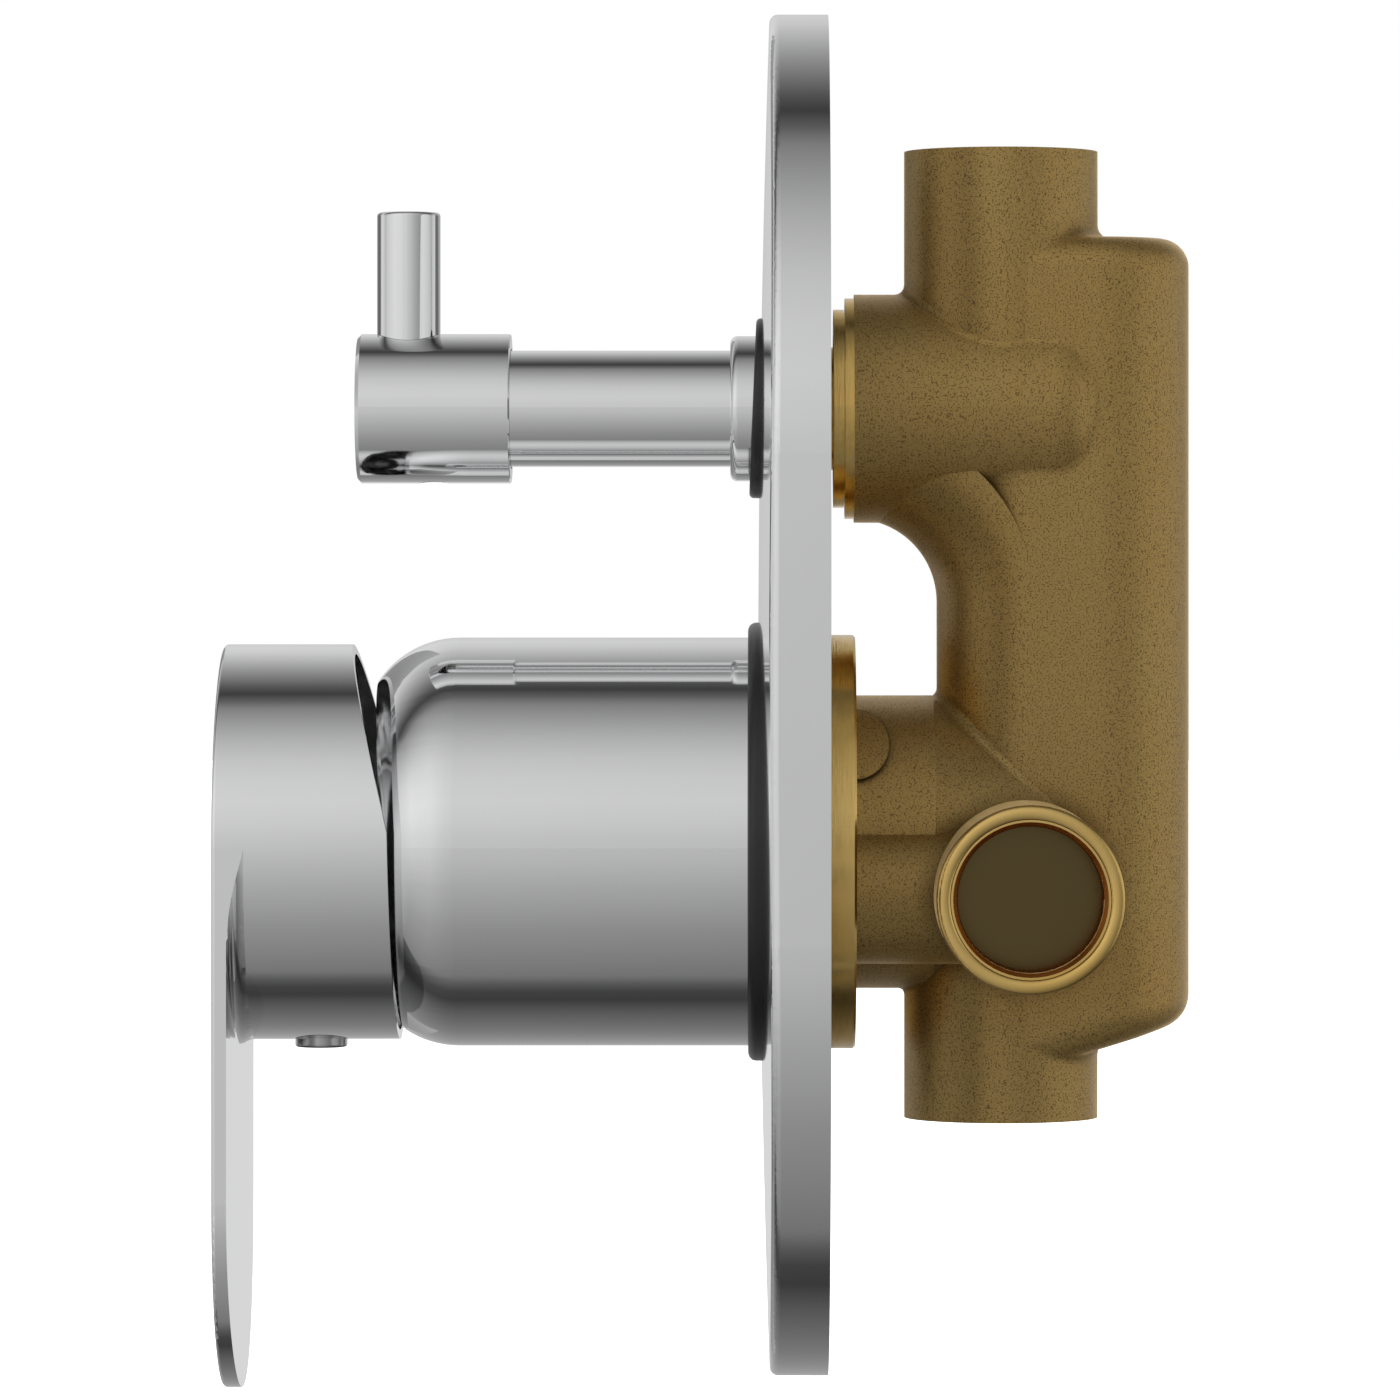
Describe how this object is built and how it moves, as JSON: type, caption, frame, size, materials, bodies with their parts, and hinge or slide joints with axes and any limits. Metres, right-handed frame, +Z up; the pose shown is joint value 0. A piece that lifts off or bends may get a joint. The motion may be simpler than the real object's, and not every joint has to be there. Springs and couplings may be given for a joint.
{
  "type": "concealed shower mixer valve with diverter",
  "caption": "Concealed single-lever shower mixer with a diverter: polished wall plate with rounded ends, lever handle, pin-handled knob and a cast brass body with threaded ports.",
  "frame": {"origin": "where the axis of the mixer meets the back plane of the wall plate, which is the plane of the finished wall", "axes": "+Y into the wall along the mixer's axis, -Y towards the user, +Z up, +X to the user's right"},
  "size_m": [0.12, 0.1284, 0.1827],
  "materials": {
    "chrome": "polished chrome plate",
    "index_plug": "polished cap",
    "cast_brass": "sand-cast skin with machined port faces",
    "turned_brass": "fine turned",
    "gasket_rubber": "smooth black rubber",
    "seal_rubber": "smooth black rubber",
    "cartridge_plastic": "moulded",
    "ceramic": "lapped ceramic",
    "steel": "machined"
  },
  "bodies": {
    "valve": {"body_casting": "cast_brass", "cartridge_housing": "turned_brass", "housing_seal": "seal_rubber", "sleeve_seals": "seal_rubber", "port_seals": "seal_rubber", "cartridge_base": "cartridge_plastic", "cartridge_shell": "cartridge_plastic", "fixed_disc": "ceramic", "retaining_nut": "turned_brass", "dome_cover": "chrome", "mixer_sleeve": "chrome", "large_gasket": "gasket_rubber", "wall_plate": "chrome", "diverter_body": "turned_brass", "collar_seal": "seal_rubber", "diverter_base_seal": "seal_rubber", "diverter_fixed_disc": "ceramic", "diverter_sleeve": "chrome", "small_gasket": "gasket_rubber"},
    "rotor": {"lever_rotor": "cartridge_plastic", "pivot_pin": "steel"},
    "lever": {"lever_stem": "steel", "handle": "chrome", "handle_screw": "steel", "index_plug": "index_plug"},
    "disc": {"disc_carrier": "cartridge_plastic", "moving_disc": "ceramic"},
    "diverter": {"knob": "chrome", "knob_pin": "chrome", "knob_screw": "steel", "spindle_adaptor": "turned_brass", "diverter_spindle": "turned_brass", "spindle_clip": "steel", "diverter_moving_disc": "ceramic"}
  },
  "joints": [
    {"name": "temperature_turn", "type": "hinge", "parent": "valve", "child": "rotor", "pos_m": [0, 0, 0], "axis": [0, 1, 0], "range_deg": [-45, 45]},
    {"name": "lever_lift", "type": "hinge", "parent": "rotor", "child": "lever", "pos_m": [0, -0.05, 0], "axis": [-1, 0, 0], "range_deg": [0, 22]},
    {"name": "disc_slide", "type": "slide", "parent": "rotor", "child": "disc", "axis": [0, 0, -1], "range_m": [0, 0.00369]},
    {"name": "diverter_turn", "type": "hinge", "parent": "valve", "child": "diverter", "pos_m": [0, 0, 0.0577], "axis": [0, 1, 0], "range_deg": [0, 90]}
  ],
  "couplings": [
    {"joint": "disc_slide", "follows": "lever_lift", "m_per_rad": 0.0096}
  ]
}
